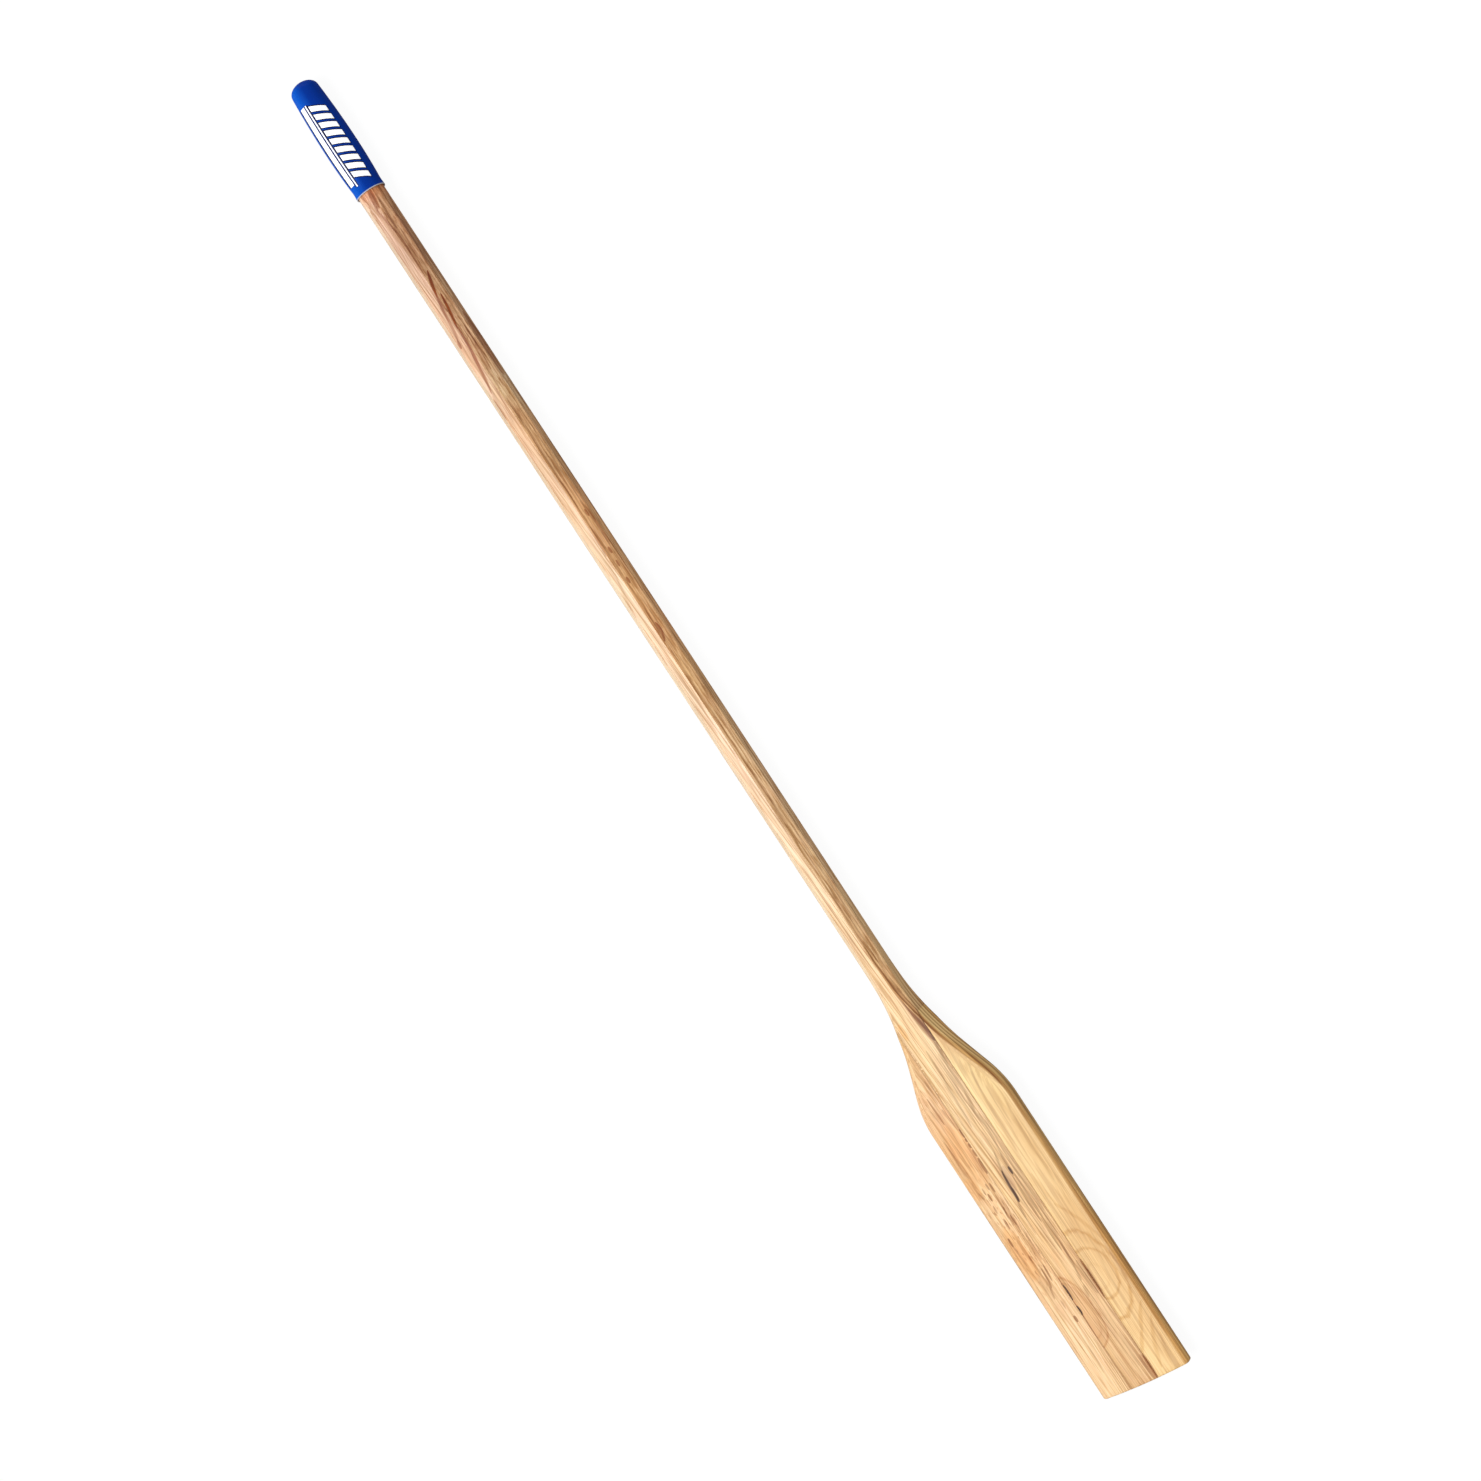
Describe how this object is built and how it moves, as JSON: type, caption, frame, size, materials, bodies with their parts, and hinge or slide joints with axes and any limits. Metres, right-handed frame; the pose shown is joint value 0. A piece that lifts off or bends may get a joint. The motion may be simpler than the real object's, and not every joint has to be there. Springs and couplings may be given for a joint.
{
  "type": "rowing oar",
  "caption": "Wooden rowing oar with an eight-sided loom, a flat square-ended blade glued up from boards, and a closed-end slip-on hand grip.",
  "frame": {"origin": "middle of the oar's length and width, at the height of its lowest point, the underside of the grip's belly", "axes": "+X along the loom from the grip to the blade's tip, +Y across the blade, +Z square to the blade's face"},
  "size_m": [2.134, 0.146, 0.0484],
  "materials": {
    "loom_wood": "clear satin varnish on tan softwood with brown streaks",
    "left_wing_wood": "clear satin varnish on peach-coloured softwood",
    "right_wing_wood": "clear satin varnish on pale yellow softwood",
    "grip_vinyl": "blue vinyl with a soft gloss and plain white printed bars"
  },
  "bodies": {
    "root": {"loom_core": "loom_wood", "blade_wing_left": "left_wing_wood", "blade_wing_right": "right_wing_wood", "grip_sleeve": "grip_vinyl"}
  },
  "joints": []
}
